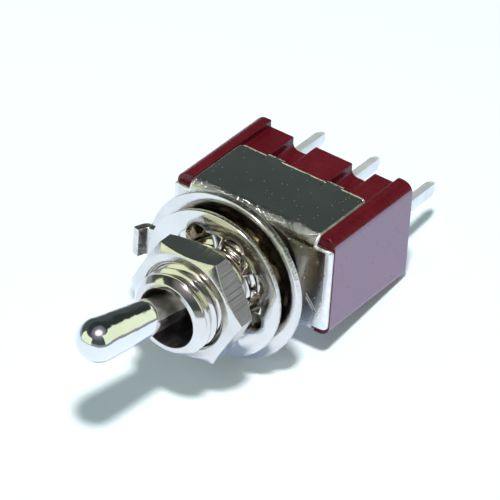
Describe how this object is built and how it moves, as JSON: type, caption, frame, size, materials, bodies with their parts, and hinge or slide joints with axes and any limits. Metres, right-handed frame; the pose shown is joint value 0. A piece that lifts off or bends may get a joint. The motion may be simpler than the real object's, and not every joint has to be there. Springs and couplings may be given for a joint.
{
  "type": "miniature toggle switch",
  "caption": "Panel toggle switch with a plated bat lever in a threaded bushing, nuts and washers, a folded metal frame, a moulded case and straight blade pins.",
  "frame": {"origin": "on the bushing's axis at the front plate's outer face", "axes": "-Y out of the panel along the bushing, +X along the lever's swing, +Z across the row of pins, up as pictured"},
  "size_m": [0.0138, 0.0311, 0.0124],
  "materials": {
    "case_plastic": "moulded thermoset, glossy",
    "frame_nickel": "nickel-plated sheet, fine grain",
    "bushing_nickel": "nickel-plated brass, bright",
    "nut_nickel": "nickel-plated, bright",
    "washer_nickel": "nickel-plated spring steel",
    "lever_chrome": "chrome-plated brass, mirror",
    "inner_steel": "plain steel",
    "plunger_plastic": "moulded",
    "rocker_brass": "plain",
    "terminal_tin": "tin-plated",
    "contact_silver": "silver alloy"
  },
  "bodies": {
    "base": {"case": "case_plastic", "frame": "frame_nickel", "bushing": "bushing_nickel", "rear_nut": "nut_nickel", "locating_washer": "washer_nickel", "lock_washer": "washer_nickel", "front_nut": "nut_nickel", "common_terminal": "terminal_tin", "left_terminal": "terminal_tin", "right_terminal": "terminal_tin", "left_contact": "contact_silver", "right_contact": "contact_silver"},
    "lever": {"toggle_lever": "lever_chrome", "pivot_pin": "inner_steel", "lever_spring": "inner_steel"},
    "plunger_body": {"plunger": "plunger_plastic"},
    "rocker": {"contact_rocker": "rocker_brass"}
  },
  "joints": [
    {"name": "lever_tilt", "type": "hinge", "parent": "base", "child": "lever", "pos_m": [0, -0.0054, 0], "axis": [0, 0, 1], "range_deg": [0, 25]},
    {"name": "plunger_slide", "type": "slide", "parent": "lever", "child": "plunger_body", "axis": [-0.2164, -0.9763, 0], "range_m": [0, 0.0004], "stiffness_N_per_m": 250, "deforming": ["lever_spring"]},
    {"name": "rocker_tilt", "type": "hinge", "parent": "base", "child": "rocker", "pos_m": [0, 0.007, 0], "axis": [0, 0, 1], "range_deg": [-14.05, 0.05]}
  ],
  "couplings": [
    {"joint": "rocker_tilt", "follows": "lever_tilt", "ratio": -0.56}
  ]
}
